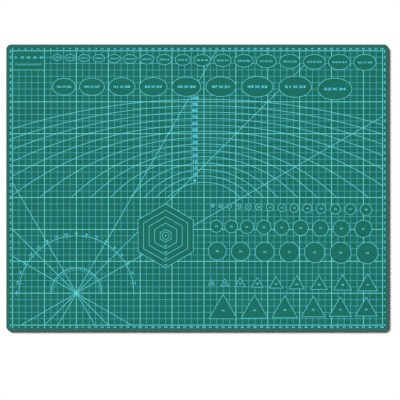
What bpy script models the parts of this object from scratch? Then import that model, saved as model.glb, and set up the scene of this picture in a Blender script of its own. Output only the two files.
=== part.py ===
"""Self-healing cutting mat: two soft plies bonded to a stiff core, with a printed drafting pattern on top.

Units are metres and +Z is up. The origin is at the middle of the underside. The mat is longest along X.
The print's own places are measured from the lower left corner of its printed frame.
"""

import math
from collections import namedtuple

import bmesh
import bpy
from mathutils import Vector
from mathutils.geometry import delaunay_2d_cdt

# The sheet: face plies of soft vinyl above and below a stiff core, die-cut to one outline
MAT_LENGTH = 0.600
MAT_WIDTH = 0.450
CORNER_RADIUS = 0.008
FACE_PLY = 0.00109
CORE_PLY = 0.00080
GLUE_LINE = 0.00001
EDGE_ROUND = 0.0004
CORNER_STEPS = 8

# The ink: one raised film on the top ply, inside a bare border
BORDER = 0.010
INK = 0.00005
INK_SEAT = 0.00001
HEAVY_LINE = 0.0009
FIGURE_LINE = 0.00065
LINE_BREAK = 0.00002

# The ruled lattice, counted in cells from the frame's lower left corner
CELL = 0.050
BASE_ROW = 4

# The protractor: two half circles and their rays, about a crossing of the lattice
DIAL_COLUMN = 2
DIAL_ROW = 1
DIAL_OUTER = 0.090
DIAL_INNER = 0.040
DIAL_STEPS = 36
RAY_ANGLES = (30, 45, 60, 120, 135, 150)

# The radius gauge: arcs numbered by their radius in centimetres, one step apart on their common axis
CM = 0.010
GAUGE_COLUMN = 6
GAUGE_RADII = (8, 10, 12, 15, 20, 25, 30, 40, 50, 60, 70, 80, 90, 100)
GAUGE_FIRST = 0.024
GAUGE_STEP = 0.010
GAUGE_STEPS = 14

# Templates, in millimetres as they are numbered on the mat
MM = 0.001
SMALL_ELLIPSES = (14, 16, 17, 18, 19, 20, 22, 23, 24, 26, 27, 29, 31, 32, 34, 34, 35)
LARGE_ELLIPSES = (36, 39, 41, 43, 45, 47, 49, 51, 53)
SMALL_CIRCLES = tuple(range(5, 19))
MIDDLE_CIRCLES = tuple(range(19, 28))
LARGE_CIRCLES = tuple(range(28, 35))
SMALL_TRIANGLES = (10, 12, 16, 18, 21, 24, 26, 28, 31)
LARGE_TRIANGLES = (44, 42, 40, 37, 35, 34)
HEXAGONS = (50, 40, 30, 20, 10, 6)
NARROWEST_ELLIPSE = 9
NARROWEST_LARGE_ELLIPSE = 26

# The ends of each row of templates, and the hexagons' middle, as shares of the printed frame's length.
# Where a row widens, each gap in it is wider than the one before by that share of the first.
SMALL_ELLIPSE_ENDS = (0.1088, 0.9822)
LARGE_ELLIPSE_ENDS = (0.1081, 0.9167)
LARGE_ELLIPSE_WIDENING = 0.089
SMALL_CIRCLE_ENDS = (0.5362, 0.9707)
MIDDLE_CIRCLE_ENDS = (0.5345, 0.9714)
MIDDLE_CIRCLE_WIDENING = 0.162
LARGE_CIRCLE_ENDS = (0.5290, 0.9879)
SMALL_TRIANGLE_ENDS = (0.5288, 0.9867)
LARGE_TRIANGLE_ENDS = (0.5310, 0.9853)
HEXAGON_PLACE = 0.4138

# How far each row hangs below the frame's top or the base line, or stands above the frame's foot
ELLIPSE_DROP = 0.0057
LARGE_ELLIPSE_DROP = 0.0563
LAST_ELLIPSE_DROP = 0.0599
SMALL_CIRCLE_DROP = 0.010
MIDDLE_CIRCLE_DROP = 0.0355
LARGE_CIRCLE_DROP = 0.070
SMALL_TRIANGLE_RISE = 0.0671
LARGE_TRIANGLE_RISE = 0.0290
HEXAGON_RISE = 0.140
TITLE_BOX_DEPTH = 0.030

# How finely round outlines are drawn, and how close two corners are when they count as one
ROUND_CORNERS = 24
SMALL_ROUND_CORNERS = 16
WELD = 1e-6

# Worked out from the sizes above
FRAME_LENGTH = MAT_LENGTH - 2 * BORDER
FRAME_WIDTH = MAT_WIDTH - 2 * BORDER
BASE_LINE = BASE_ROW * CELL
CORE_BOTTOM = FACE_PLY + GLUE_LINE
TOP_PLY_BOTTOM = CORE_BOTTOM + CORE_PLY + GLUE_LINE
MAT_TOP = TOP_PLY_BOTTOM + FACE_PLY
INK_BOTTOM = MAT_TOP + INK_SEAT

# A template: a closed outline of so many corners. Its outline is a part here only where solid is true.
Figure = namedtuple("Figure", "name x y radius_x radius_y corners solid")


def clear_scene():
    for item in list(bpy.data.objects):
        bpy.data.objects.remove(item, do_unlink=True)


def collection_for(name):
    collection = bpy.data.collections.new(name)
    bpy.context.scene.collection.children.link(collection)
    return collection


def finish(name, colour, roughness):
    material = bpy.data.materials.new(name)
    material.use_nodes = True
    shader = material.node_tree.nodes["Principled BSDF"]
    shader.inputs["Base Color"].default_value = (*colour, 1.0)
    shader.inputs["Roughness"].default_value = roughness
    shader.inputs["Metallic"].default_value = 0.0
    return material


def top_vinyl():
    return finish("top_vinyl", (0.017, 0.178, 0.135), 0.55)


def bottom_vinyl():
    return finish("bottom_vinyl", (0.017, 0.165, 0.125), 0.60)


def core_sheet():
    return finish("core_sheet", (0.060, 0.120, 0.105), 0.45)


def grid_ink():
    return finish("grid_ink", (0.20, 0.78, 0.86), 0.42)


def template_ink():
    return finish("template_ink", (0.21, 0.72, 0.70), 0.42)


def around(centre_x, centre_y, radius_x, radius_y, steps, start=0.0, turn=2 * math.pi):
    """Points round a circle, ellipse or regular polygon, or along part of one."""
    count = steps if turn == 2 * math.pi else steps + 1
    angles = [start + turn * step / steps for step in range(count)]
    return [(centre_x + radius_x * math.cos(a), centre_y + radius_y * math.sin(a)) for a in angles]


def rounded_outline():
    """The mat's die-cut outline, anticlockwise from its right side."""
    reach_x = MAT_LENGTH / 2 - CORNER_RADIUS
    reach_y = MAT_WIDTH / 2 - CORNER_RADIUS
    points = []
    for quarter, (side_x, side_y) in enumerate(((1, 1), (-1, 1), (-1, -1), (1, -1))):
        points += around(
            side_x * reach_x, side_y * reach_y, CORNER_RADIUS, CORNER_RADIUS,
            CORNER_STEPS, quarter * math.pi / 2, math.pi / 2,
        )
    return points


def plate(name, outlines, thickness, material, collection):
    """A flat plate from a filled 2D curve: the first outline is its edge, the others are holes."""
    curve = bpy.data.curves.new(name + "_outline", "CURVE")
    curve.dimensions = "2D"
    curve.fill_mode = "BOTH"
    curve.extrude = thickness / 2
    for outline in outlines:
        spline = curve.splines.new("POLY")
        spline.points.add(len(outline) - 1)
        spline.use_cyclic_u = True
        for point, (x, y) in zip(spline.points, outline):
            point.co = (x, y, 0.0, 1.0)
    outline_object = bpy.data.objects.new(name + "_outline", curve)
    collection.objects.link(outline_object)
    depsgraph = bpy.context.evaluated_depsgraph_get()
    mesh = bpy.data.meshes.new_from_object(outline_object.evaluated_get(depsgraph))
    mesh.name = name
    bpy.data.objects.remove(outline_object, do_unlink=True)
    bpy.data.curves.remove(curve)
    work = bmesh.new()
    work.from_mesh(mesh)
    bmesh.ops.remove_doubles(work, verts=work.verts, dist=WELD)
    bmesh.ops.recalc_face_normals(work, faces=work.faces)
    work.to_mesh(mesh)
    work.free()
    mesh.materials.clear()
    mesh.materials.append(material)
    part = bpy.data.objects.new(name, mesh)
    collection.objects.link(part)
    return part


def round_rim(part, outer_z):
    """Rounds the rim of a plate on the side that is at outer_z in the plate's own frame."""
    mesh = part.data
    rounded = mesh.attributes.new("bevel_weight_edge", "FLOAT", "EDGE")
    flat = {}
    for face in mesh.polygons:
        if abs(face.normal.z) > 0.5:
            for key in face.edge_keys:
                flat[key] = flat.get(key, 0) + 1
    for edge in mesh.edges:
        on_side = all(abs(mesh.vertices[index].co.z - outer_z) < WELD for index in edge.vertices)
        if on_side and flat.get(tuple(sorted(edge.vertices)), 0) == 1:
            rounded.data[edge.index].value = 1.0
    bevel = part.modifiers.new("rim_round", "BEVEL")
    bevel.limit_method = "WEIGHT"
    bevel.width = EDGE_ROUND
    bevel.segments = 3
    mesh.shade_smooth()
    mesh.set_sharp_from_angle(angle=math.radians(30))


def ply(name, bottom, thickness, material, collection, outer_side=0):
    """One layer of the mat. outer_side is +1 or -1 where the layer has an outside face, or 0."""
    sheet = plate(name, [rounded_outline()], thickness, material, collection)
    sheet.location.z = bottom + thickness / 2
    if outer_side:
        round_rim(sheet, outer_side * thickness / 2)
    return sheet


def in_row(ends, sizes, widening=0.0):
    """Each size in a row with its middle. The gaps take up the room that the sizes leave."""
    first, last = (share * FRAME_LENGTH for share in ends)
    spare = last - first - sum(sizes) * MM
    gap_shares = [1 + widening * index for index in range(len(sizes) - 1)]
    places = []
    edge = first
    for size, gap_share in zip(sizes, gap_shares + [0.0]):
        places.append((size, edge + size * MM / 2))
        edge += size * MM + spare * gap_share / sum(gap_shares)
    return places


def ellipse(length, width, x, y, corners, solid):
    """An ellipse that is named by its length and width in millimetres."""
    name = f"ellipse_{length}x{width}"
    return Figure(name, x, y, length * MM / 2, width * MM / 2, corners, solid)


def ellipses():
    """Both rows of ellipses: the small ones hang from their tops, the large ones share a centre line."""
    figures = []
    for index, (length, x) in enumerate(in_row(SMALL_ELLIPSE_ENDS, SMALL_ELLIPSES)):
        width = NARROWEST_ELLIPSE + index
        y = FRAME_WIDTH - ELLIPSE_DROP - width * MM / 2
        figures.append(ellipse(length, width, x, y, SMALL_ROUND_CORNERS, False))
    for index, (length, x) in enumerate(in_row(LARGE_ELLIPSE_ENDS, LARGE_ELLIPSES, LARGE_ELLIPSE_WIDENING)):
        width = NARROWEST_LARGE_ELLIPSE + index
        drop = LAST_ELLIPSE_DROP if length == LARGE_ELLIPSES[-1] else LARGE_ELLIPSE_DROP
        figures.append(ellipse(length, width, x, FRAME_WIDTH - drop, ROUND_CORNERS, True))
    return figures


def circles():
    """Three rows of circles, each hung from the tops of its circles below the base line."""
    small = in_row(SMALL_CIRCLE_ENDS, SMALL_CIRCLES)
    middle = in_row(MIDDLE_CIRCLE_ENDS, MIDDLE_CIRCLES, MIDDLE_CIRCLE_WIDENING)
    large = in_row(LARGE_CIRCLE_ENDS, LARGE_CIRCLES)
    rows = (
        (small, SMALL_CIRCLE_DROP, SMALL_ROUND_CORNERS, False),
        (middle, MIDDLE_CIRCLE_DROP, SMALL_ROUND_CORNERS, True),
        (large, LARGE_CIRCLE_DROP, ROUND_CORNERS, True),
    )
    figures = []
    for row, drop, corners, solid in rows:
        for size, x in row:
            radius = size * MM / 2
            y = BASE_LINE - drop - radius
            figures.append(Figure(f"circle_{size}", x, y, radius, radius, corners, solid))
    return figures


def triangles():
    """Two rows of equal-sided triangles, each row level at half the height of its triangles."""
    small = in_row(SMALL_TRIANGLE_ENDS, SMALL_TRIANGLES)
    large = in_row(LARGE_TRIANGLE_ENDS, LARGE_TRIANGLES)
    figures = []
    for row, rise in ((small, SMALL_TRIANGLE_RISE), (large, LARGE_TRIANGLE_RISE)):
        for side, x in row:
            height = side * MM * math.sqrt(3) / 2
            radius = height * 2 / 3
            figures.append(Figure(f"triangle_{side}", x, rise - height / 6, radius, radius, 3, True))
    return figures


def hexagons():
    """Hexagons on one centre, each stated by the distance from its centre to a corner."""
    x = HEXAGON_PLACE * FRAME_LENGTH
    return [
        Figure(f"hexagon_{size}", x, HEXAGON_RISE, size * MM, size * MM, 6, True)
        for size in HEXAGONS
    ]


def outline_of(figure, grow, x=0.0, y=0.0):
    """The figure's outline with its sides moved out by grow, about x and y."""
    corner_grow = grow / math.cos(math.pi / figure.corners)
    radius_x = figure.radius_x + corner_grow
    radius_y = figure.radius_y + corner_grow
    return around(x, y, radius_x, radius_y, figure.corners, math.pi / 2)


def stroke(start, end, width):
    """The four corners of a straight line of ink."""
    (start_x, start_y), (end_x, end_y) = start, end
    length = math.hypot(end_x - start_x, end_y - start_y)
    side_x = (start_y - end_y) / length * width / 2
    side_y = (end_x - start_x) / length * width / 2
    return [
        (start_x + side_x, start_y + side_y),
        (start_x - side_x, start_y - side_y),
        (end_x - side_x, end_y - side_y),
        (end_x + side_x, end_y + side_y),
    ]


def arc_stroke(x, y, radius, width, start, turn, steps):
    """A curved line of ink about x and y."""
    outer = around(x, y, radius + width / 2, radius + width / 2, steps, start, turn)
    inner = around(x, y, radius - width / 2, radius - width / 2, steps, start, turn)
    return outer + inner[::-1]


def cell_lines(limit):
    """Where the lines of the lattice stand, one cell apart and clear of the limit."""
    places = [step * CELL for step in range(1, int(limit / CELL) + 1)]
    return [place for place in places if place + HEAVY_LINE < limit]


def lattice_strokes():
    """The printed frame, the lines one cell apart below the title box, and that box's foot."""
    title_foot = FRAME_WIDTH - TITLE_BOX_DEPTH
    strokes = [stroke((x, 0.0), (x, FRAME_WIDTH), HEAVY_LINE) for x in cell_lines(FRAME_LENGTH)]
    strokes += [stroke((0.0, y), (FRAME_LENGTH, y), HEAVY_LINE) for y in cell_lines(title_foot)]
    reach = HEAVY_LINE / 2
    for x in (0.0, FRAME_LENGTH):
        strokes.append(stroke((x, -reach), (x, FRAME_WIDTH + reach), HEAVY_LINE))
    for y in (0.0, FRAME_WIDTH):
        strokes.append(stroke((-reach, y), (FRAME_LENGTH + reach, y), HEAVY_LINE))
    strokes.append(stroke((0.0, title_foot), (CELL, title_foot), FIGURE_LINE))
    return strokes


def dial_strokes():
    """The protractor's two half circles, and its rays carried on to the frame above and below."""
    x = DIAL_COLUMN * CELL
    y = DIAL_ROW * CELL
    strokes = []
    for radius in (DIAL_OUTER, DIAL_INNER):
        strokes.append(arc_stroke(x, y, radius, FIGURE_LINE, 0.0, math.pi, DIAL_STEPS))
    for degrees in RAY_ANGLES:
        run = math.cos(math.radians(degrees))
        rise = math.sin(math.radians(degrees))
        to_side = (FRAME_LENGTH - x) / run if run > 0 else -x / run
        up = min(to_side, (FRAME_WIDTH - y) / rise)
        down = y / rise
        strokes.append(stroke((x, y), (x + run * up, y + rise * up), FIGURE_LINE))
        strokes.append(stroke((x, y), (x - run * down, y - rise * down), FIGURE_LINE))
    return strokes


def gauge_strokes():
    """The radius gauge: each arc ends at the base line, or at the frame where that comes first."""
    x = GAUGE_COLUMN * CELL
    strokes = []
    for index, centimetres in enumerate(GAUGE_RADII):
        radius = centimetres * CM
        rise = GAUGE_FIRST + index * GAUGE_STEP
        to_base = math.acos(1 - rise / radius)
        left = min(to_base, math.asin(min(1.0, x / radius)))
        right = min(to_base, math.asin(min(1.0, (FRAME_LENGTH - x) / radius)))
        y = BASE_LINE + rise - radius
        start = math.pi / 2 - right
        strokes.append(arc_stroke(x, y, radius, FIGURE_LINE, start, left + right, GAUGE_STEPS))
    return strokes


def joined_to_frame(faces):
    """The faces that hang together with the first one's lattice, found from edge to edge."""
    at_corner = {}
    for index, face in enumerate(faces):
        for corner in face:
            at_corner.setdefault(corner, []).append(index)
    start = min(at_corner)
    reached = set(at_corner[start])
    waiting = list(reached)
    while waiting:
        for corner in faces[waiting.pop()]:
            for index in at_corner[corner]:
                if index not in reached:
                    reached.add(index)
                    waiting.append(index)
    return [faces[index] for index in sorted(reached)]


def grid_film(name, strokes, windows, material, collection):
    """One sheet of ink: every stroke joined into the next, and left out where a window lies."""
    corners = []
    loops = []
    for outline in strokes + windows:
        loops.append(list(range(len(corners), len(corners) + len(outline))))
        corners += [Vector(point) for point in outline]
    points, _, faces, _, _, sources = delaunay_2d_cdt(corners, [], loops, 1, WELD / 10, True)
    inked = [face for face, source in zip(faces, sources) if source and max(source) < len(strokes)]
    mesh = bpy.data.meshes.new(name)
    mesh.from_pydata([(x, y, 0.0) for x, y in points], [], joined_to_frame(inked))
    work = bmesh.new()
    work.from_mesh(mesh)
    loose = [vertex for vertex in work.verts if not vertex.link_faces]
    bmesh.ops.delete(work, geom=loose, context="VERTS")
    work.to_mesh(mesh)
    work.free()
    mesh.materials.append(material)
    film = bpy.data.objects.new(name, mesh)
    collection.objects.link(film)
    thickness = film.modifiers.new("ink_film", "SOLIDIFY")
    thickness.thickness = INK
    thickness.offset = 1.0
    return film


def template_film(figure, material, collection):
    """The printed outline of one template, as wide as a figure line."""
    outer = outline_of(figure, FIGURE_LINE / 2)
    inner = outline_of(figure, -FIGURE_LINE / 2)
    film = plate("printed_" + figure.name, [outer, inner], INK, material, collection)
    film.location = (figure.x, figure.y, INK / 2)
    return film


def build_mat():
    clear_scene()
    mat = collection_for("cutting_mat")
    ply("bottom_ply", 0.0, FACE_PLY, bottom_vinyl(), mat, -1)
    ply("core_ply", CORE_BOTTOM, CORE_PLY, core_sheet(), mat)
    ply("top_ply", TOP_PLY_BOTTOM, FACE_PLY, top_vinyl(), mat, 1)

    print_corner = bpy.data.objects.new("print_corner", None)
    print_corner.location = (-FRAME_LENGTH / 2, -FRAME_WIDTH / 2, INK_BOTTOM)
    mat.objects.link(print_corner)

    figures = ellipses() + circles() + triangles() + hexagons()
    windows = [outline_of(figure, FIGURE_LINE / 2 + LINE_BREAK, figure.x, figure.y) for figure in figures]
    strokes = lattice_strokes() + dial_strokes() + gauge_strokes()
    grid = grid_film("printed_grid", strokes, windows, grid_ink(), mat)
    grid.parent = print_corner
    ink = template_ink()
    for figure in figures:
        if figure.solid:
            template_film(figure, ink, mat).parent = print_corner


build_mat()
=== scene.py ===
import math
from collections import namedtuple

import bmesh
import bpy
from mathutils import Matrix, Vector
from mathutils.geometry import delaunay_2d_cdt


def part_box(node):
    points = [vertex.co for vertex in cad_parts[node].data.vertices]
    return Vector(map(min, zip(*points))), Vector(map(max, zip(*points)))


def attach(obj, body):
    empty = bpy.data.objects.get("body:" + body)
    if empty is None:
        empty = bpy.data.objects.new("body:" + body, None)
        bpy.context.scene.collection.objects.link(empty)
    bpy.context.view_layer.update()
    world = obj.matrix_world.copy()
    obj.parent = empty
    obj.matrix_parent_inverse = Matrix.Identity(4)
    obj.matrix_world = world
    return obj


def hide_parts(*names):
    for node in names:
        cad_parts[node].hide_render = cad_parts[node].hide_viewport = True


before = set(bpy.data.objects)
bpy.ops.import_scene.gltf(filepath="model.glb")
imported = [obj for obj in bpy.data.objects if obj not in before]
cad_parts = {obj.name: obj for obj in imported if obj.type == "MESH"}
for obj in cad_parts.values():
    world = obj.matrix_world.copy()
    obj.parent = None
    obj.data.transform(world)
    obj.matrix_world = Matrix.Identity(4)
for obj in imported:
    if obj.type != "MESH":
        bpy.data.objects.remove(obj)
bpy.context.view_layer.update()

# Bottom ply: a sheet of soft green vinyl, the face that lies on the table.
# It is rolled out with a fine pressed grain, bonded hot to the core, and die-cut with the other plies.
# The die leaves its lower edge a little rounded, and a fine groove where it meets the core.
BOTTOM_PIGMENT = (0.0110, 0.139, 0.105, 1.0)
BOTTOM_LIGHTER = 1.2
BOTTOM_DRIFT = 0.6
CLOUD_PATCH = 0.07
BOTTOM_ROUGHNESS = 0.82
BOTTOM_VALLEY_DULLING = 0.10
BOTTOM_GRAIN = 0.0009
BOTTOM_TOOTH = 0.3
GRAIN_DEPTH = 0.00008
GRAIN_STRENGTH = 0.8
STREAK_WIDTH = 0.0004
RIM_REACH = 0.0060
# Greyer, darker rim colour: partly rubbed wear, partly painted shade of the rounded edge and the shadow
# beside it.
RIM_WEAR_AND_PAINTED_SHADE = (0.041, 0.121, 0.099, 1.0)
VINYL_SPECULAR = 0.10
CORNER_RADIUS = 0.008
CORNER_STEPS = 24
ROUNDING_STEPS = 5
GROOVE = 0.00008
LOWER_ROUNDING = 0.0003

mat_low, mat_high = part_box("bottom_ply")


def place(tree, kind, inputs=None, **settings):
    """A node with its settings, and its inputs set to values or joined to the outputs of other nodes."""
    node = tree.nodes.new(kind)
    for setting, value in settings.items():
        setattr(node, setting, value)
    for key, value in (inputs or {}).items():
        if isinstance(value, bpy.types.NodeSocket):
            tree.links.new(value, node.inputs[key])
        else:
            node.inputs[key].default_value = value
    return node


def calculate(tree, operation, *values):
    """The result of a Math node on one, two or three values."""
    return place(tree, "ShaderNodeMath", dict(enumerate(values)), operation=operation).outputs[0]


def reshape(tree, operation, *vectors):
    """A Vector Math node on the vectors given."""
    return place(tree, "ShaderNodeVectorMath", dict(enumerate(vectors)), operation=operation)


def fade(tree, value, low, high):
    """0 below low and 1 above high, with a soft passage."""
    inputs = {"Value": value, "From Min": low, "From Max": high}
    return place(tree, "ShaderNodeMapRange", inputs, interpolation_type="SMOOTHSTEP").outputs["Result"]


def noise(tree, position, scale, detail, roughness=0.5):
    """Soft random values over the surface."""
    inputs = {"Vector": position, "Scale": scale, "Detail": detail, "Roughness": roughness}
    return place(tree, "ShaderNodeTexNoise", inputs).outputs["Fac"]


# The Mix node's sockets for colours, by number: those for other kinds of value have the same names.
MIX_SHARE = 0
MIX_FIRST = 6
MIX_SECOND = 7
MIX_RESULT = 2


def blend_colours(tree, share, first, second):
    """The first colour where share is 0, and the second where it is 1."""
    mix = place(tree, "ShaderNodeMix", data_type="RGBA")
    for index, value in ((MIX_SHARE, share), (MIX_FIRST, first), (MIX_SECOND, second)):
        if isinstance(value, bpy.types.NodeSocket):
            tree.links.new(value, mix.inputs[index])
        else:
            mix.inputs[index].default_value = value
    return mix.outputs[MIX_RESULT]


def effect(name, inputs, outputs):
    """An empty node group with named inputs and outputs, for an effect that several finishes share."""
    group = bpy.data.node_groups.new(name, "ShaderNodeTree")
    for title, kind in inputs:
        group.interface.new_socket(title, in_out="INPUT", socket_type="NodeSocket" + kind)
    for title, kind in outputs:
        group.interface.new_socket(title, in_out="OUTPUT", socket_type="NodeSocket" + kind)
    given = group.nodes.new("NodeGroupInput").outputs
    results = group.nodes.new("NodeGroupOutput").inputs
    return group, given, results


PEBBLE_SMOOTHNESS = 0.8
TOOTH_FINENESS = 3.0
TOOTH_DETAIL = 2.0
VALLEY_LIMITS = (0.35, 0.75)


def pressed_grain_effect():
    """Rounded pebbles of one size, with a finer tooth on each."""
    inputs = (("Position", "Vector"), ("Grain Size", "Float"), ("Tooth", "Float"))
    group, given, results = effect("pressed_grain", inputs, (("Height", "Float"), ("Valley", "Float")))
    scale = calculate(group, "DIVIDE", 1.0, given["Grain Size"])
    pebbles = {"Vector": given["Position"], "Scale": scale, "Smoothness": PEBBLE_SMOOTHNESS}
    distance = place(group, "ShaderNodeTexVoronoi", pebbles, feature="SMOOTH_F1").outputs["Distance"]
    finer = calculate(group, "MULTIPLY", scale, TOOTH_FINENESS)
    tooth = noise(group, given["Position"], finer, TOOTH_DETAIL)
    dome = calculate(group, "SUBTRACT", 1.0, distance)
    rough = calculate(group, "MULTIPLY", tooth, given["Tooth"])
    group.links.new(calculate(group, "ADD", dome, rough), results["Height"])
    group.links.new(fade(group, distance, *VALLEY_LIMITS), results["Valley"])
    return group


CLOUD_DETAIL = 4.0
CLOUD_ROUGHNESS = 0.6
CLOUD_LIMITS = (0.30, 0.70)


def pigment_cloud_effect():
    """Slow drift of a dyed sheet's colour, lighter in some patches and deeper in others."""
    inputs = (
        ("Position", "Vector"), ("Patch Size", "Float"), ("Pigment", "Color"), ("Lighter", "Color"),
        ("Drift", "Float"),
    )
    group, given, results = effect("pigment_cloud", inputs, (("Colour", "Color"),))
    scale = calculate(group, "DIVIDE", 1.0, given["Patch Size"])
    cloud = noise(group, given["Position"], scale, CLOUD_DETAIL, CLOUD_ROUGHNESS)
    share = calculate(group, "MULTIPLY", fade(group, cloud, *CLOUD_LIMITS), given["Drift"])
    group.links.new(blend_colours(group, share, given["Pigment"], given["Lighter"]), results["Colour"])
    return group


LEVEL_ONLY = (1.0, 1.0, 0.0)


def trimmed_rim_effect():
    """1 along the die-cut outline of the sheet, and 0 further in than Reach."""
    inputs = (
        ("Position", "Vector"), ("Half Sides", "Vector"), ("Corner Radius", "Float"), ("Reach", "Float")
    )
    group, given, results = effect("trimmed_rim", inputs, (("Rim", "Float"),))
    radius = given["Corner Radius"]
    corner = place(group, "ShaderNodeCombineXYZ", {"X": radius, "Y": radius}).outputs[0]
    straight = reshape(group, "SUBTRACT", given["Half Sides"], corner).outputs[0]
    flat = reshape(group, "MULTIPLY", given["Position"], LEVEL_ONLY).outputs[0]
    beyond = reshape(group, "SUBTRACT", reshape(group, "ABSOLUTE", flat).outputs[0], straight).outputs[0]
    outside = reshape(group, "LENGTH", reshape(group, "MAXIMUM", beyond, (0.0, 0.0, 0.0)).outputs[0])
    parts = place(group, "ShaderNodeSeparateXYZ", {0: beyond}).outputs
    inside = calculate(group, "MINIMUM", calculate(group, "MAXIMUM", parts["X"], parts["Y"]), 0.0)
    distance = calculate(group, "ADD", outside.outputs["Value"], inside)
    near = fade(group, calculate(group, "SUBTRACT", radius, distance), 0.0, given["Reach"])
    group.links.new(calculate(group, "SUBTRACT", 1.0, near), results["Rim"])
    return group


STREAK_SQUEEZE = (1.0, 1.0, 0.08)
STREAK_DETAIL = 3.0
# A face belongs to the sheet's sides where its normal rises less than this.
SIDE_LIFT = 0.7


def die_streaks_effect():
    """Fine upright drag marks that the cutting die leaves on the sides of a sheet."""
    inputs = (("Position", "Vector"), ("Streak Width", "Float"))
    group, given, results = effect("die_streaks", inputs, (("Height", "Float"),))
    upright = reshape(group, "MULTIPLY", given["Position"], STREAK_SQUEEZE).outputs[0]
    scale = calculate(group, "DIVIDE", 1.0, given["Streak Width"])
    streak = noise(group, upright, scale, STREAK_DETAIL)
    facing = place(group, "ShaderNodeNewGeometry").outputs["Normal"]
    lift = calculate(group, "ABSOLUTE", place(group, "ShaderNodeSeparateXYZ", {0: facing}).outputs["Z"])
    side = calculate(group, "LESS_THAN", lift, SIDE_LIFT)
    group.links.new(calculate(group, "MULTIPLY", streak, side), results["Height"])
    return group


pressed_grain = pressed_grain_effect()
pigment_cloud = pigment_cloud_effect()
trimmed_rim = trimmed_rim_effect()
die_streaks = die_streaks_effect()


def new_finish(name):
    """An empty material: its node tree, its Principled shader and the piece's own coordinates."""
    material = bpy.data.materials.new(name)
    material.use_nodes = True
    tree = material.node_tree
    shader = tree.nodes["Principled BSDF"]
    position = place(tree, "ShaderNodeTexCoord").outputs["Object"]
    return material, tree, shader, position


def dyed(tree, position, pigment, lighter, patch_size, drift):
    """The colour of a dyed sheet, with its slow drift."""
    inputs = {
        "Position": position, "Patch Size": patch_size, "Pigment": pigment, "Lighter": lighter,
        "Drift": drift,
    }
    return place(tree, "ShaderNodeGroup", inputs, node_tree=pigment_cloud).outputs["Colour"]


def rim_of_sheet(tree, position, reach):
    """The mask of the sheet's die-cut rim."""
    inputs = {
        "Position": position, "Half Sides": (mat_high.x, mat_high.y, 0.0),
        "Corner Radius": CORNER_RADIUS, "Reach": reach,
    }
    return place(tree, "ShaderNodeGroup", inputs, node_tree=trimmed_rim).outputs["Rim"]


def grained(tree, position, grain_size, tooth):
    """The sockets of the pressed grain."""
    inputs = {"Position": position, "Grain Size": grain_size, "Tooth": tooth}
    return place(tree, "ShaderNodeGroup", inputs, node_tree=pressed_grain).outputs


def streaked(tree, position, streak_width):
    """The height of the die's drag marks."""
    inputs = {"Position": position, "Streak Width": streak_width}
    return place(tree, "ShaderNodeGroup", inputs, node_tree=die_streaks).outputs["Height"]


def raised(tree, height, strength, depth):
    """A Bump node on that height."""
    return place(tree, "ShaderNodeBump", {"Height": height, "Strength": strength, "Distance": depth})


def join_finish(tree, shader, colour, bump, roughness):
    """The colour, the relief and the roughness of a finish, joined to its shader."""
    tree.links.new(colour, shader.inputs["Base Color"])
    tree.links.new(bump.outputs["Normal"], shader.inputs["Normal"])
    tree.links.new(roughness, shader.inputs["Roughness"])


def lightened(colour, factor):
    """The same colour, lighter or deeper by a factor."""
    return (*(channel * factor for channel in colour[:3]), 1.0)


def bottom_vinyl_finish():
    """Plain green vinyl with a coarse grain, greyer and darker along its rim: partly rubbed wear, partly
    painted edge shade.
    """
    material, tree, shader, position = new_finish("bottom_vinyl")
    lighter = lightened(BOTTOM_PIGMENT, BOTTOM_LIGHTER)
    colour = dyed(tree, position, BOTTOM_PIGMENT, lighter, CLOUD_PATCH, BOTTOM_DRIFT)
    # Painted shade: the rim turns greyer and darker, partly for wear, partly for the edge's shade.
    worn_and_shaded_rim = blend_colours(tree, rim_of_sheet(tree, position, RIM_REACH), colour, RIM_WEAR_AND_PAINTED_SHADE)
    grain = grained(tree, position, BOTTOM_GRAIN, BOTTOM_TOOTH)
    height = calculate(tree, "ADD", grain["Height"], streaked(tree, position, STREAK_WIDTH))
    bump = raised(tree, height, GRAIN_STRENGTH, GRAIN_DEPTH)
    roughness = calculate(tree, "MULTIPLY_ADD", grain["Valley"], BOTTOM_VALLEY_DULLING, BOTTOM_ROUGHNESS)
    join_finish(tree, shader, worn_and_shaded_rim, bump, roughness)
    shader.inputs["Specular IOR Level"].default_value = VINYL_SPECULAR
    return material


def die_cut_ring(work, node, inset, z):
    """One ring of points round the sheet's outline, moved in by inset."""
    low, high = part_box(node)
    ring = []
    for side_x, side_y, start in ((1, 1, 0), (-1, 1, 1), (-1, -1, 2), (1, -1, 3)):
        x = (low.x + high.x) / 2 + side_x * ((high.x - low.x) / 2 - CORNER_RADIUS)
        y = (low.y + high.y) / 2 + side_y * ((high.y - low.y) / 2 - CORNER_RADIUS)
        for step in range(CORNER_STEPS + 1):
            angle = (start + step / CORNER_STEPS) * math.pi / 2
            reach = CORNER_RADIUS - inset
            ring.append(work.verts.new((x + reach * math.cos(angle), y + reach * math.sin(angle), z)))
    return ring


def rounded_profile(low_z, high_z, low_rounding, high_rounding):
    """Insets and heights from the lower face up the side to the upper face."""
    quarter = [math.pi / 2 * step / ROUNDING_STEPS for step in range(ROUNDING_STEPS + 1)]
    shares = [(1 - math.cos(angle), 1 - math.sin(angle)) for angle in quarter]
    lower = [(low_rounding * inward, low_z + low_rounding * upward) for inward, upward in shares[::-1]]
    upper = [(high_rounding * inward, high_z - high_rounding * downward) for inward, downward in shares]
    return lower + upper


def lay(name, mesh, material):
    """The mesh as a piece of the mat, in its material."""
    mesh.materials.append(material)
    piece = bpy.data.objects.new(name, mesh)
    bpy.context.scene.collection.objects.link(piece)
    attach(piece, "root")
    return piece


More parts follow.
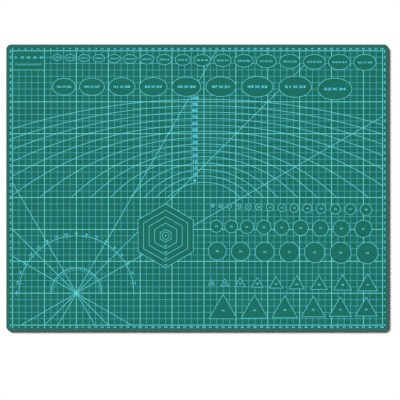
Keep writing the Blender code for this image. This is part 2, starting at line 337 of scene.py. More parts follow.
def die_cut_sheet(node, low_rounding, high_rounding, material):
    """A ply as it leaves the die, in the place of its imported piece."""
    low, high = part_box(node)
    work = bmesh.new()
    rings = []
    for inset, z in rounded_profile(low.z, high.z, low_rounding, high_rounding):
        rings.append(die_cut_ring(work, node, inset, z))
    count = len(rings[0])
    for below, above in zip(rings, rings[1:]):
        for i in range(count):
            j = (i + 1) % count
            work.faces.new((below[i], below[j], above[j], above[i])).smooth = True
    work.faces.new(rings[0][::-1])
    work.faces.new(rings[-1])
    mesh = bpy.data.meshes.new("sheet_" + node)
    work.to_mesh(mesh)
    work.free()
    piece = lay("sheet_" + node, mesh, material)
    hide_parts(node)
    return piece


die_cut_sheet("bottom_ply", LOWER_ROUNDING, GROOVE, bottom_vinyl_finish())

# Core ply: a thin stiff sheet between the two soft ones, which keeps the mat flat and stops a blade.
# It is denser and darker than the vinyl, and only its die-cut edge shows, as a fine line round the mat.
CORE_COLOUR = (0.030, 0.095, 0.080, 1.0)
CORE_LIGHTER = 1.35
CORE_DRIFT = 1.0
CORE_PATCH = CLOUD_PATCH / 4
CORE_ROUGHNESS = 0.50
CORE_STREAK_WIDTH = STREAK_WIDTH / 2
CORE_STREAK_STRENGTH = 0.7
CORE_STREAK_DULLING = 0.2


def core_finish():
    """Stiff extruded sheet, mottled and finely streaked where the die has cut it."""
    material, tree, shader, position = new_finish("core_sheet")
    lighter = lightened(CORE_COLOUR, CORE_LIGHTER)
    colour = dyed(tree, position, CORE_COLOUR, lighter, CORE_PATCH, CORE_DRIFT)
    streaks = streaked(tree, position, CORE_STREAK_WIDTH)
    bump = raised(tree, streaks, CORE_STREAK_STRENGTH, GRAIN_DEPTH)
    roughness = calculate(tree, "MULTIPLY_ADD", streaks, CORE_STREAK_DULLING, CORE_ROUGHNESS)
    join_finish(tree, shader, colour, bump, roughness)
    return material


die_cut_sheet("core_ply", GROOVE / 2, GROOVE / 2, core_finish())

# Top ply: the soft self-healing vinyl that is cut on, in nearly the same green as the bottom one.
# Its pressed grain is finer, and a blade leaves faint closed scars on it.
# The die draws its upper edge down.
TOP_PIGMENT = (0.0078, 0.144, 0.111, 1.0)
TOP_LIGHTER = 1.14
TOP_DRIFT = 0.7
TOP_ROUGHNESS = 0.78
TOP_VALLEY_DULLING = 0.08
TOP_GRAIN = 0.0006
TOP_TOOTH = 0.25
UPPER_ROUNDING = 0.00045
SCAR_RUN = 0.09
SCAR_WIDTH = 0.0007
SCAR_BEARINGS = (0.03, 1.60, 0.82)
SCAR_RARITY = 0.73
SCAR_FADE = 0.05
SCAR_LIGHTER = 1.6
SCAR_SHARE = 0.35
SCAR_STRENGTH = 0.5
SCAR_DEPTH = 0.00004


def healed_cuts_effect():
    """Long thin scars where a blade has passed, each fading out at its ends."""
    inputs = (
        ("Position", "Vector"), ("Bearing", "Float"), ("Run", "Float"), ("Width", "Float"),
        ("Rarity", "Float"),
    )
    group, given, results = effect("healed_cuts", inputs, (("Scar", "Float"),))
    turned = place(
        group, "ShaderNodeVectorRotate", {"Vector": given["Position"], "Angle": given["Bearing"]},
        rotation_type="Z_AXIS",
    ).outputs[0]
    along = calculate(group, "DIVIDE", 1.0, given["Run"])
    across = calculate(group, "DIVIDE", 1.0, given["Width"])
    stretch = place(group, "ShaderNodeCombineXYZ", {"X": along, "Y": across}).outputs[0]
    drawn_out = reshape(group, "MULTIPLY", turned, stretch).outputs[0]
    chance = noise(group, drawn_out, 1.0, 0.0)
    full = calculate(group, "ADD", given["Rarity"], SCAR_FADE)
    group.links.new(fade(group, chance, given["Rarity"], full), results["Scar"])
    return group


healed_cuts = healed_cuts_effect()


def scars_on_vinyl(tree, position):
    """The mask of all healed cuts, which run along a few bearings."""
    scars = None
    for bearing in SCAR_BEARINGS:
        inputs = {
            "Position": position, "Bearing": bearing, "Run": SCAR_RUN, "Width": SCAR_WIDTH,
            "Rarity": SCAR_RARITY,
        }
        scar = place(tree, "ShaderNodeGroup", inputs, node_tree=healed_cuts).outputs["Scar"]
        scars = scar if scars is None else calculate(tree, "MAXIMUM", scars, scar)
    return scars


def top_vinyl_finish():
    """Green vinyl with a fine grain and healed cuts, greyer and darker along its rim: partly rubbed wear,
    partly painted edge shade.
    """
    material, tree, shader, position = new_finish("top_vinyl")
    lighter = lightened(TOP_PIGMENT, TOP_LIGHTER)
    colour = dyed(tree, position, TOP_PIGMENT, lighter, CLOUD_PATCH, TOP_DRIFT)
    # Painted shade: the rim turns greyer and darker, partly for wear, partly for the edge's shade.
    edged = blend_colours(tree, rim_of_sheet(tree, position, RIM_REACH), colour, RIM_WEAR_AND_PAINTED_SHADE)
    scars = scars_on_vinyl(tree, position)
    scar_share = calculate(tree, "MULTIPLY", scars, SCAR_SHARE)
    scarred = blend_colours(tree, scar_share, edged, lightened(TOP_PIGMENT, SCAR_LIGHTER))
    grain = grained(tree, position, TOP_GRAIN, TOP_TOOTH)
    height = calculate(tree, "ADD", grain["Height"], streaked(tree, position, STREAK_WIDTH))
    grain_bump = raised(tree, height, GRAIN_STRENGTH, GRAIN_DEPTH)
    cut_bump = raised(tree, calculate(tree, "MULTIPLY", scars, -1.0), SCAR_STRENGTH, SCAR_DEPTH)
    tree.links.new(grain_bump.outputs["Normal"], cut_bump.inputs["Normal"])
    roughness = calculate(tree, "MULTIPLY_ADD", grain["Valley"], TOP_VALLEY_DULLING, TOP_ROUGHNESS)
    join_finish(tree, shader, scarred, cut_bump, roughness)
    shader.inputs["Specular IOR Level"].default_value = VINYL_SPECULAR
    return material


die_cut_sheet("top_ply", GROOVE, UPPER_ROUNDING, top_vinyl_finish())

# Template outlines: ellipses, circles, triangles and hexagons to trace or cut along, of their stated sizes.
# They are part of one screen print, a light blue-green ink that stands a hair above the top ply.
MM = 0.001
CELL = 0.050
BASE_CELLS = 4
HEAVY_LINE = 0.0009
FIGURE_LINE = 0.00065
CROSSING_STEP = 0.00001
# Corners of a round outline here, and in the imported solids.
ROUND_CORNERS = 72
CAD_ROUND = 24
CORNERS = {"ellipse": CAD_ROUND, "circle": CAD_ROUND, "triangle": 3, "hexagon": 6}
TEMPLATE_INK = (0.150, 0.710, 0.750, 1.0)
TEMPLATE_WEAR = 0.35
THIN_SHOW = 0.45
INK_ROUGHNESS = 0.66
INK_SPECULAR = 0.15
INK_MESH = 0.0004
WEAVE_STRENGTH = 0.25
WEAVE_DULLING = 0.05
SMALL_ELLIPSES = (14, 16, 17, 18, 19, 20, 22, 23, 24, 26, 27, 29, 31, 32, 34, 34, 35)
NARROWEST_ELLIPSE = 9
ELLIPSE_DROP = 0.0057
SMALL_ELLIPSE_ENDS = (0.1088, 0.9822)
SMALL_CIRCLES = tuple(range(5, 19))
SMALL_CIRCLE_DROP = 0.010
SMALL_CIRCLE_ENDS = (0.5362, 0.9707)
CENTRE_DOT = 0.0012

print_low, print_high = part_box("printed_grid")
frame_left = print_low.x + HEAVY_LINE / 2
frame_foot = print_low.y + HEAVY_LINE / 2
frame_length = print_high.x - print_low.x - HEAVY_LINE
frame_width = print_high.y - print_low.y - HEAVY_LINE
base_line = BASE_CELLS * CELL
ink_depth = print_high.z - print_low.z
weave_depth = ink_depth / 4

Template = namedtuple("Template", "name kind x y radius_x radius_y corners")

BLOTCH_SCALE = 260.0
BLOTCH_DETAIL = 3.0
BLOTCH_ROUGHNESS = 0.65
THIN_LIMITS = (0.45, 0.75)


def screened_ink_effect():
    """Ink pushed through a woven screen: a faint weave, and thin spots where the vinyl shows through."""
    inputs = (
        ("Position", "Vector"), ("Screen Mesh", "Float"), ("Ink", "Color"), ("Thin Ink", "Color"),
        ("Wear", "Float"),
    )
    group, given, results = effect("screened_ink", inputs, (("Colour", "Color"), ("Height", "Float")))
    scale = calculate(group, "DIVIDE", math.tau, given["Screen Mesh"])
    threads = reshape(group, "MULTIPLY", given["Position"], LEVEL_ONLY).outputs[0]
    counted = place(group, "ShaderNodeVectorMath", {0: threads, "Scale": scale}, operation="SCALE")
    waves = reshape(group, "SINE", counted.outputs[0]).outputs[0]
    weave = place(group, "ShaderNodeSeparateXYZ", {0: waves}).outputs
    group.links.new(calculate(group, "MULTIPLY", weave["X"], weave["Y"]), results["Height"])
    blotch = noise(group, given["Position"], BLOTCH_SCALE, BLOTCH_DETAIL, BLOTCH_ROUGHNESS)
    thin = calculate(group, "MULTIPLY", fade(group, blotch, *THIN_LIMITS), given["Wear"])
    group.links.new(blend_colours(group, thin, given["Ink"], given["Thin Ink"]), results["Colour"])
    return group


screened_ink = screened_ink_effect()


def ink_finish(name, ink, wear):
    """Printed ink of one colour, with thin spots as plain as wear makes them."""
    material, tree, shader, position = new_finish(name)
    thin_ink = [(1 - THIN_SHOW) * level + THIN_SHOW * vinyl for level, vinyl in zip(ink, TOP_PIGMENT)]
    inputs = {
        "Position": position, "Screen Mesh": INK_MESH, "Ink": ink, "Thin Ink": thin_ink, "Wear": wear,
    }
    screened = place(tree, "ShaderNodeGroup", inputs, node_tree=screened_ink).outputs
    bump = raised(tree, screened["Height"], WEAVE_STRENGTH, weave_depth)
    roughness = calculate(tree, "MULTIPLY_ADD", screened["Height"], WEAVE_DULLING, INK_ROUGHNESS)
    join_finish(tree, shader, screened["Colour"], bump, roughness)
    shader.inputs["Specular IOR Level"].default_value = INK_SPECULAR
    return material


def around(centre_x, centre_y, radius_x, radius_y, steps, start=0.0, turn=math.tau):
    """Points round a circle, ellipse or regular polygon, or along part of one."""
    count = steps if turn == math.tau else steps + 1
    angles = [start + turn * step / steps for step in range(count)]
    return [(centre_x + radius_x * math.cos(a), centre_y + radius_y * math.sin(a)) for a in angles]


def outline_of(template, grow):
    """The template's outline with its sides moved out by grow."""
    corner_grow = grow / math.cos(math.pi / template.corners)
    radius_x = template.radius_x + corner_grow
    radius_y = template.radius_y + corner_grow
    return around(template.x, template.y, radius_x, radius_y, template.corners, math.pi / 2)


def packed_template(node):
    """The template that a packed outline stands for, from that outline's box."""
    low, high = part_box(node)
    kind = node.split("_")[1]
    corners = CORNERS[kind]
    corner_grow = FIGURE_LINE / 2 / math.cos(math.pi / corners)
    below = math.cos(math.pi / corners) if corners % 2 else 1.0
    radius_y = (high.y - low.y) / (1 + below)
    radius_x = (high.x - low.x) / 2 if corners == CAD_ROUND else radius_y
    x = (low.x + high.x) / 2 - frame_left
    y = high.y - radius_y - frame_foot
    drawn = ROUND_CORNERS if corners == CAD_ROUND else corners
    name = node.removeprefix("printed_")
    return Template(name, kind, x, y, radius_x - corner_grow, radius_y - corner_grow, drawn)


def in_row(ends, sizes):
    """Each size with its middle, equal gaps apart. The ends of the row are shares of the frame's length."""
    first, last = (share * frame_length for share in ends)
    gap = (last - first - sum(sizes) * MM) / (len(sizes) - 1)
    places = []
    edge = first
    for size in sizes:
        places.append((size, edge + size * MM / 2))
        edge += size * MM + gap
    return places


def small_ellipses():
    """The upper row of ellipses, hung from their tops."""
    found = []
    for index, (length, x) in enumerate(in_row(SMALL_ELLIPSE_ENDS, SMALL_ELLIPSES)):
        width = NARROWEST_ELLIPSE + index
        y = frame_width - ELLIPSE_DROP - width * MM / 2
        name = f"ellipse_{length}x{width}"
        found.append(Template(name, "ellipse", x, y, length * MM / 2, width * MM / 2, ROUND_CORNERS))
    return found


def small_circles():
    """The row of small circles under the base line, hung from their tops."""
    found = []
    for size, x in in_row(SMALL_CIRCLE_ENDS, SMALL_CIRCLES):
        radius = size * MM / 2
        y = base_line - SMALL_CIRCLE_DROP - radius
        found.append(Template(f"circle_{size}", "circle", x, y, radius, radius, ROUND_CORNERS))
    return found


def ink_film(name, points, faces, material):
    """A closed film of ink from flat faces on the top ply, a little lower than the numbers on it."""
    mesh = bpy.data.meshes.new(name)
    mesh.from_pydata([(x + frame_left, y + frame_foot, print_low.z) for x, y in points], [], faces)
    work = bmesh.new()
    work.from_mesh(mesh)
    loose = [vertex for vertex in work.verts if not vertex.link_faces]
    bmesh.ops.delete(work, geom=loose, context="VERTS")
    work.to_mesh(mesh)
    work.free()
    piece = lay(name, mesh, material)
    thickness = piece.modifiers.new("ink_film", "SOLIDIFY")
    thickness.thickness = ink_depth - CROSSING_STEP
    thickness.offset = 1.0
    return piece


def round_spot(x, y, radius):
    """The outline of a round spot of ink."""
    return around(x, y, radius, radius, ROUND_CORNERS)


def ink_spot(name, x, y, radius, material):
    """A round spot of ink."""
    return ink_film(name, round_spot(x, y, radius), [tuple(range(ROUND_CORNERS))], material)


template_ink = ink_finish("template_ink", TEMPLATE_INK, TEMPLATE_WEAR)
packed_print = [node for node in sorted(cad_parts) if node.startswith("printed_")]
templates = [packed_template(node) for node in packed_print if node != "printed_grid"]
templates += small_ellipses() + small_circles()
for template in templates:
    outer = outline_of(template, FIGURE_LINE / 2)
    inner = outline_of(template, -FIGURE_LINE / 2)
    count = template.corners
    band = [(i, (i + 1) % count, count + (i + 1) % count, count + i) for i in range(count)]
    outline = ink_film("ink_" + template.name, outer + inner, band, template_ink)
    if "printed_" + template.name in packed_print:
        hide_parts("printed_" + template.name)

widest = next(template for template in templates if template.name == "hexagon_50")
ink_spot("ink_centre_dot", widest.x, widest.y, CENTRE_DOT, template_ink)

# Ruled lines: the frame, the lines 5 cm apart, the finer ones 1 cm apart, the protractor, the radius arcs.
# They are one print with the templates, which stand in windows that the lines stop short of.
GRID_INK = (0.155, 0.780, 0.820, 1.0)
GRID_WEAR = 0.30
FINE_INK = (0.100, 0.640, 0.760, 1.0)
FINE_WEAR = 0.25
DIAL_MARK_INK = (0.060, 0.730, 0.980, 1.0)
DIAL_MARK_WEAR = 0.10
CM = 0.010
FINE_LINE = 0.00044
LINE_BREAK = 0.00002
TITLE_BOX_DEPTH = 0.030
HALF_TURN = 180
DIAL = (0.100, 0.050)
DIAL_OUTER = 0.090
DIAL_INNER = 0.040
DIAL_OUTER_STEP = 10
DIAL_INNER_STEP = 5
DIAL_TICK = 0.0048
DIAL_TICK_LINE = 0.00056
DIAL_MARK = 0.0019
RAY_ANGLES = (30, 45, 60, 120, 135, 150)
# The height at which a ray ends early, because an ellipse is in its way.
RAY_HEADS = {45: 0.412}
GAUGE_X = 0.300
GAUGE_RADII = (0.08, 0.10, 0.12, 0.15, 0.20, 0.25, 0.30, 0.40, 0.50, 0.60, 0.70, 0.80, 0.90, 1.00)
GAUGE_FIRST = 0.024
GAUGE_STEP = 0.010
ARC_SAG = 0.00001
NEAR = 1e-7

title_foot = frame_width - TITLE_BOX_DEPTH


def stroke(start, end, width):
    """The four corners of a straight line of ink."""
    (start_x, start_y), (end_x, end_y) = start, end
    length = math.hypot(end_x - start_x, end_y - start_y)
    side_x = (start_y - end_y) / length * width / 2
    side_y = (end_x - start_x) / length * width / 2
    return [
        (start_x + side_x, start_y + side_y),
        (start_x - side_x, start_y - side_y),
        (end_x - side_x, end_y - side_y),
        (end_x + side_x, end_y + side_y),
    ]


def arc_stroke(x, y, radius, width, start, turn):
    """A curved line of ink about x and y, as smooth as ARC_SAG asks."""
    steps = math.ceil(turn / (2 * math.acos(1 - ARC_SAG / radius)))
    outer = around(x, y, radius + width / 2, radius + width / 2, steps, start, turn)
    inner = around(x, y, radius - width / 2, radius - width / 2, steps, start, turn)
    return outer + inner[::-1]


def polar(radius, degrees):
    """A point at that radius and angle from the protractor's centre."""
    angle = math.radians(degrees)
    return (DIAL[0] + radius * math.cos(angle), DIAL[1] + radius * math.sin(angle))


def steps_to(limit, step):
    """Every whole step from the first to the last that is clear of the limit."""
    steps = [count * step for count in range(1, round(limit / step) + 1)]
    return [reached for reached in steps if reached < limit - HEAVY_LINE]


def lattice_strokes():
    """The printed frame, the lines 5 cm apart and the foot of the title box."""
    strokes = [stroke((x, 0.0), (x, frame_width), HEAVY_LINE) for x in steps_to(frame_length, CELL)]
    strokes += [stroke((0.0, y), (frame_length, y), HEAVY_LINE) for y in steps_to(title_foot, CELL)]
    reach = HEAVY_LINE / 2
    for x in (0.0, frame_length):
        strokes.append(stroke((x, -reach), (x, frame_width + reach), HEAVY_LINE))
    for y in (0.0, frame_width):
        strokes.append(stroke((-reach, y), (frame_length + reach, y), HEAVY_LINE))
    strokes.append(stroke((0.0, title_foot), (CELL, title_foot), FIGURE_LINE))
    return strokes


def dial_strokes():
    """The protractor's half circles, and its rays, each to the frame or to the ellipse in its way."""
    x, y = DIAL
    strokes = [arc_stroke(x, y, radius, FIGURE_LINE, 0.0, math.pi) for radius in (DIAL_OUTER, DIAL_INNER)]
    for degrees in RAY_ANGLES:
        run = math.cos(math.radians(degrees))
        rise = math.sin(math.radians(degrees))
        to_side = (frame_length - x) / run if run > 0 else -x / run
        up = min(to_side, (RAY_HEADS.get(degrees, frame_width) - y) / rise)
        down = y / rise
        strokes.append(stroke(DIAL, (x + run * up, y + rise * up), FIGURE_LINE))
        strokes.append(stroke(DIAL, (x - run * down, y - rise * down), FIGURE_LINE))
    return strokes


def gauge_strokes():
    """The radius arcs, each of its stated radius, down to the base line or out to the frame."""
    strokes = []
    for index, radius in enumerate(GAUGE_RADII):
        rise = GAUGE_FIRST + index * GAUGE_STEP
        to_base = math.acos(1 - rise / radius)
        left = min(to_base, math.asin(min(1.0, GAUGE_X / radius)))
        right = min(to_base, math.asin(min(1.0, (frame_length - GAUGE_X) / radius)))
        y = base_line + rise - radius
        strokes.append(arc_stroke(GAUGE_X, y, radius, FIGURE_LINE, math.pi / 2 - right, left + right))
    return strokes


def degree_strokes(radius, step):
    """The degree marks inside one of the protractor's half circles."""
    strokes = []
    for degrees in range(step, HALF_TURN, step):
        inner = polar(radius - DIAL_TICK, degrees)
        strokes.append(stroke(inner, polar(radius, degrees), DIAL_TICK_LINE))
    return strokes


def fine_strokes():
    """The lines 1 cm apart, and the protractor's degree marks."""
    strokes = [stroke((x, 0.0), (x, frame_width), FINE_LINE) for x in steps_to(frame_length, CM)]
    strokes += [stroke((0.0, y), (frame_length, y), FINE_LINE) for y in steps_to(frame_width, CM)]
    strokes += degree_strokes(DIAL_OUTER, DIAL_OUTER_STEP)
    strokes += degree_strokes(DIAL_INNER, DIAL_INNER_STEP)
    return strokes


def title_window():
    """The bare box at the upper left."""
    edge = HEAVY_LINE / 2 + LINE_BREAK
    left, right = edge, CELL - edge
    foot, head = title_foot + FIGURE_LINE / 2 + LINE_BREAK, frame_width - edge
    return [(left, foot), (right, foot), (right, head), (left, head)]


def split_sheet(outlines):
    """The faces of all outlines laid over each other, each with the numbers of those that cover it."""
    corners = []
    loops = []
    for outline in outlines:
        loops.append(list(range(len(corners), len(corners) + len(outline))))
        corners += [Vector(point) for point in outline]
    points, _, faces, _, _, sources = delaunay_2d_cdt(corners, [], loops, 1, NEAR, True)
    return points, list(zip(faces, sources))


def ruled_films():
    """The heavy lines and the fine ones between them, both left out where a window lies."""
    heavy = lattice_strokes() + dial_strokes() + gauge_strokes()
    strokes = heavy + fine_strokes()
    windows = [outline_of(template, FIGURE_LINE / 2 + LINE_BREAK) for template in templates]
    windows += [title_window(), round_spot(*DIAL, DIAL_MARK + LINE_BREAK)]
    points, covered = split_sheet(strokes + windows)
    inked = [(face, min(source)) for face, source in covered if source and max(source) < len(strokes)]
    heavy_faces = [face for face, first in inked if first < len(heavy)]
    fine_faces = [face for face, first in inked if first >= len(heavy)]
    return points, heavy_faces, fine_faces


film_points, heavy_faces, fine_faces = ruled_films()
grid_ink = ink_finish("grid_ink", GRID_INK, GRID_WEAR)
heavy_film = ink_film("ink_heavy_lines", film_points, heavy_faces, grid_ink)
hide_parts("printed_grid")
fine_ink = ink_finish("fine_line_ink", FINE_INK, FINE_WEAR)
ink_film("ink_fine_lines", film_points, fine_faces, fine_ink)
mark_ink = ink_finish("dial_mark_ink", DIAL_MARK_INK, DIAL_MARK_WEAR)
ink_spot("ink_dial_mark", *DIAL, DIAL_MARK, mark_ink)

# Numbers: centimetres along all four sides, the radius of each arc, the degrees, and each template's size.
# They belong to the same print, in one plain wide style, and sit on the bare vinyl or across fine lines.
# Those along the two short sides are turned, so that they read upwards.
NUMBER_INK = (0.115, 0.708, 0.885, 1.0)
NUMBER_WEAR = 0.25
DIGIT_BOLD = 0.026
DIGIT_CURVE_STEPS = 3
DIGIT_HALF_DEPTH = 0.5
DIGIT_MERGE = 1e-4
DIGIT_PITCH = 0.98
DIGIT_ADVANCE = 0.5
CAP_HEIGHT = 0.70
SPACE_SHARE = 0.5
FIVES = 5
TENS = 10
EDGE_ROOM = 0.0032
EDGE_HEIGHT = 0.0026
FIVES_HEIGHT = 0.0027
TENS_HEIGHT = 0.0029
END_ROOM = 0.0010
RADIUS_COLUMN = 0.2855
RADIUS_RISE = 0.0025
RADIUS_HEIGHT = 0.0041
RADIUS_PITCH = 0.0041
DEGREE_STEP = 10
DEGREE_RADIUS = 0.0936
DEGREE_HEIGHT = 0.0023
SMALL_LABEL = 0.0023
SMALL_LABEL_SHARE = 0.68
LARGE_LABEL = 0.0036
LARGE_LABEL_SHARE = 0.65
LABEL_GROWTH = 0.155
LARGEST_SMALL_ELLIPSE = 0.0178
CIRCLE_LABEL = 0.0025
TRIANGLE_LABEL = 0.0024
TRIANGLE_LABEL_LIFT = 0.0003
HEXAGON_LABEL_RISE = 0.0045
HEXAGON_LABEL_SHARE = 0.22
HEXAGON_LABEL_FILL = 0.48
WITHOUT_LABEL = "hexagon_6"

digit_shapes = {}
Label = namedtuple("Label", "text x y height width turn")


def digit_shape(character):
    """One character's closed solid, one unit deep, in the middle of its room, kept for the next time."""
    if character not in digit_shapes:
        curve = bpy.data.curves.new("digit", "FONT")
        curve.body = character
        curve.resolution_u = DIGIT_CURVE_STEPS
        curve.offset = DIGIT_BOLD
        curve.extrude = DIGIT_HALF_DEPTH
        holder = bpy.data.objects.new("digit", curve)
        bpy.context.scene.collection.objects.link(holder)
        evaluated = holder.evaluated_get(bpy.context.evaluated_depsgraph_get())
        mesh = bpy.data.meshes.new_from_object(evaluated)
        bpy.data.objects.remove(holder)
        bpy.data.curves.remove(curve)
        work = bmesh.new()
        work.from_mesh(mesh)
        bmesh.ops.remove_doubles(work, verts=work.verts, dist=DIGIT_MERGE)
        bmesh.ops.dissolve_degenerate(work, edges=work.edges, dist=DIGIT_MERGE)
        bmesh.ops.recalc_face_normals(work, faces=work.faces)
        sides = [vertex.co.x for vertex in work.verts]
        to_middle = (DIGIT_ADVANCE - min(sides) - max(sides)) / 2
        bmesh.ops.translate(work, verts=work.verts, vec=(to_middle, 0.0, 0.0))
        work.to_mesh(mesh)
        work.free()
        digit_shapes[character] = mesh
    return digit_shapes[character]


def label(text, x, y, height, width=0.0, turn=0.0):
    """A label that is centred on x and y. Its characters spread over width, or stand at their own pitch."""
    text = str(text)
    return Label(text, x, y, height, width or len(text) * DIGIT_PITCH * height, turn)


def stamp(work, item):
    """The characters of one label, each stretched to fill its room."""
    depth = ink_depth / 2
    rooms = [SPACE_SHARE if character == " " else 1.0 for character in item.text]
    pitch = item.width / sum(rooms)
    stretch = Matrix.Diagonal((pitch / DIGIT_ADVANCE, item.height / CAP_HEIGHT, depth, 1.0))
    middle = Matrix.Translation((item.x + frame_left, item.y + frame_foot, print_high.z - depth / 2))
    turned = middle @ Matrix.Rotation(item.turn, 4, "Z")
    along = -item.width / 2
    for character, room in zip(item.text, rooms):
        if character != " ":
            before = len(work.verts)
            work.from_mesh(digit_shape(character))
            work.verts.ensure_lookup_table()
            shift = Matrix.Translation((along, -item.height / 2, 0.0))
            bmesh.ops.transform(work, matrix=turned @ shift @ stretch, verts=work.verts[before:])
        along += room * pitch


def number_film(name, labels, material):
    """All the labels of one group, over the lines that they cross."""
    work = bmesh.new()
    for item in labels:
        stamp(work, item)
    mesh = bpy.data.meshes.new(name)
    work.to_mesh(mesh)
    work.free()
    piece = lay(name, mesh, material)
    return piece


def edge_height(count):
    """Tens are the largest numbers of the scale, and fives stand out a little."""
    if count % TENS == 0 and count:
        return TENS_HEIGHT
    return FIVES_HEIGHT if count % FIVES == 0 else EDGE_HEIGHT


number_ink = ink_finish("number_ink", NUMBER_INK, NUMBER_WEAR)
across = range(round(frame_length / CM) + 1)
upward = range(round(frame_width / CM) + 1)
for side, y in (("foot", -EDGE_ROOM), ("head", frame_width + EDGE_ROOM)):
    labels = []
    for count in across:
        x = min(count * CM, frame_length - END_ROOM)
        labels.append(label(count, x, y, edge_height(count)))
    number_film("numbers_" + side, labels, number_ink)
for side, x in (("left", -EDGE_ROOM), ("right", frame_length + EDGE_ROOM)):
    labels = []
    for count in upward:
        y = min(count * CM, frame_width - END_ROOM)
        labels.append(label(count, x, y, edge_height(count), turn=math.pi / 2))
    number_film("numbers_" + side, labels, number_ink)

radius_labels = []
for index, radius in enumerate(GAUGE_RADII):
    y = base_line + GAUGE_FIRST + index * GAUGE_STEP + RADIUS_RISE
    centimetres = str(round(radius / CM))
    width = len(centimetres) * RADIUS_PITCH
    radius_labels.append(label(centimetres, RADIUS_COLUMN, y, RADIUS_HEIGHT, width))
number_film("numbers_radius", radius_labels, number_ink)

degree_labels = []
for degrees in range(DEGREE_STEP, HALF_TURN + 1, DEGREE_STEP):
    x, y = polar(DEGREE_RADIUS, degrees)
    turn = math.radians(degrees - HALF_TURN / 2)
    degree_labels.append(label(degrees, x, y, DEGREE_HEIGHT, turn=turn))
number_film("numbers_degrees", degree_labels, number_ink)

size_labels = {kind: [] for kind in CORNERS}
for template in templates:
    if template.name == WITHOUT_LABEL:
        continue
    sizes = template.name.split("_")[1]
    x, y = template.x, template.y
    if template.kind == "ellipse":
        small = template.radius_x < LARGEST_SMALL_ELLIPSE
        height = SMALL_LABEL if small else min(LARGE_LABEL, LABEL_GROWTH * template.radius_x)
        share = SMALL_LABEL_SHARE if small else LARGE_LABEL_SHARE
        item = label(sizes.replace("x", " X "), x, y, height, share * 2 * template.radius_x)
    elif template.kind == "circle":
        item = label(sizes, x, y, min(CIRCLE_LABEL, template.radius_y))
    elif template.kind == "triangle":
        item = label(sizes, x, y + TRIANGLE_LABEL_LIFT, TRIANGLE_LABEL)
    else:
        rise = min(HEXAGON_LABEL_RISE, template.radius_y * HEXAGON_LABEL_SHARE)
        item = label(sizes, x, y - template.radius_y + rise, rise * HEXAGON_LABEL_FILL)
    size_labels[template.kind].append(item)
for kind, labels in size_labels.items():
    size_ink = template_ink if kind in ("circle", "hexagon") else number_ink
    number_film(f"numbers_{kind}_sizes", labels, size_ink)

# Scale in the title box: 40 mm of plain divisions with their numbers above.
# It is printed with the rest of the ink, in the bare box at the upper left of the ruled frame.
SCALE_START = 0.005
SCALE_DROP = 0.0222
SCALE_LENGTH = 40
SCALE_LINE = 0.00028
SCALE_TICKS = ((TENS, 0.0036), (FIVES, 0.0030), (1, 0.0022))
SCALE_NUMBER = 0.0031
SCALE_NUMBER_DROP = 0.0105


def scale_strokes():
    """The base line of the scale and a tick at each millimetre, longer at the fives and tens."""
    foot = frame_width - SCALE_DROP
    end = SCALE_START + SCALE_LENGTH * MM
    strokes = [stroke((SCALE_START - SCALE_LINE / 2, foot), (end + SCALE_LINE / 2, foot), SCALE_LINE)]
    for count in range(SCALE_LENGTH + 1):
        height = next(tall for step, tall in SCALE_TICKS if count % step == 0)
        x = SCALE_START + count * MM
        strokes.append(stroke((x, foot), (x, foot + height), SCALE_LINE))
    return strokes


def joined_strokes(strokes):
    """Strokes laid over each other as one film, as points and faces."""
    points, covered = split_sheet(strokes)
    return points, [face for face, source in covered if source]


scale_points, scale_faces = joined_strokes(scale_strokes())
ink_film("ink_title_scale", scale_points, scale_faces, number_ink)
scale_labels = []
for count in range(0, SCALE_LENGTH + 1, TENS):
    x = SCALE_START + count * MM
    scale_labels.append(label(count, x, frame_width - SCALE_NUMBER_DROP, SCALE_NUMBER))
number_film("numbers_title_scale", scale_labels, number_ink)

# Room round the mat: a plain white table, a key light from the upper left and a weak even sky.
# The table is a little below the mat's underside, and its own whiteness gives the white background.
TABLE_SIDE = 8.0
TABLE_DROP = 0.0001
TABLE_WHITE = (0.99, 0.99, 0.99, 1.0)
TABLE_ROUGHNESS = 0.9
KEY_STRENGTH = 5.15
KEY_RISE = 32.5
KEY_BEARING = 135.0
KEY_SPREAD = 24.0
SKY = 0.13
SKY_WHITE = (1.0, 1.0, 1.0, 1.0)
PHOTO_WIDTH = 0.6276
PHOTO_MIDDLE = (0.0038, -0.0189)
LENS = 120.0
FARTHEST_SEEN = 50.0

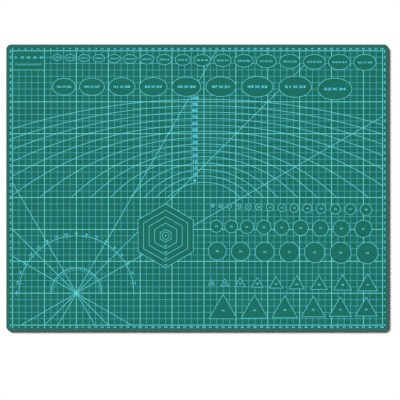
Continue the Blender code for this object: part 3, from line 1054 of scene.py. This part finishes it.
table_mesh = bpy.data.meshes.new("table")
half = TABLE_SIDE / 2
table_corners = [(-half, -half, 0), (half, -half, 0), (half, half, 0), (-half, half, 0)]
table_mesh.from_pydata(table_corners, [], [(0, 1, 2, 3)])
table = bpy.data.objects.new("table", table_mesh)
table.location.z = mat_low.z - TABLE_DROP
bpy.context.scene.collection.objects.link(table)
table_finish = bpy.data.materials.new("white_table")
table_finish.use_nodes = True
table_shader = table_finish.node_tree.nodes["Principled BSDF"]
table_shader.inputs["Base Color"].default_value = TABLE_WHITE
table_shader.inputs["Roughness"].default_value = TABLE_ROUGHNESS
table_shader.inputs["Specular IOR Level"].default_value = 0.0
table_mesh.materials.append(table_finish)

key_data = bpy.data.lights.new("key", "SUN")
key_data.energy = KEY_STRENGTH
key_data.angle = math.radians(KEY_SPREAD)
key = bpy.data.objects.new("key", key_data)
bearing = math.radians(KEY_BEARING)
rise = math.radians(KEY_RISE)
level_part = math.cos(rise)
to_light = Vector((math.cos(bearing) * level_part, math.sin(bearing) * level_part, math.sin(rise)))
key.rotation_euler = to_light.to_track_quat("Z", "Y").to_euler()
bpy.context.scene.collection.objects.link(key)

world = bpy.data.worlds.new("room")
world.use_nodes = True
room = world.node_tree
# The sky looks white where it is seen or mirrored, and lights the mat only with its own weak strength.
path = place(room, "ShaderNodeLightPath").outputs
seen = calculate(room, "MAXIMUM", path["Is Camera Ray"], path["Is Glossy Ray"])
seen_or_through = calculate(room, "MAXIMUM", seen, path["Is Transmission Ray"])
strength = calculate(room, "MAXIMUM", seen_or_through, SKY)
room.links.new(strength, room.nodes["Background"].inputs["Strength"])
room.nodes["Background"].inputs["Color"].default_value = SKY_WHITE
bpy.context.scene.world = world

camera_data = bpy.data.cameras.new("camera")
camera_data.lens = LENS
camera_data.clip_end = FARTHEST_SEEN
camera = bpy.data.objects.new("camera", camera_data)
distance = PHOTO_WIDTH * LENS / camera_data.sensor_width
camera.location = (*PHOTO_MIDDLE, mat_high.z + distance)
bpy.context.scene.collection.objects.link(camera)
bpy.context.scene.camera = camera
bpy.context.scene.view_settings.view_transform = "Standard"
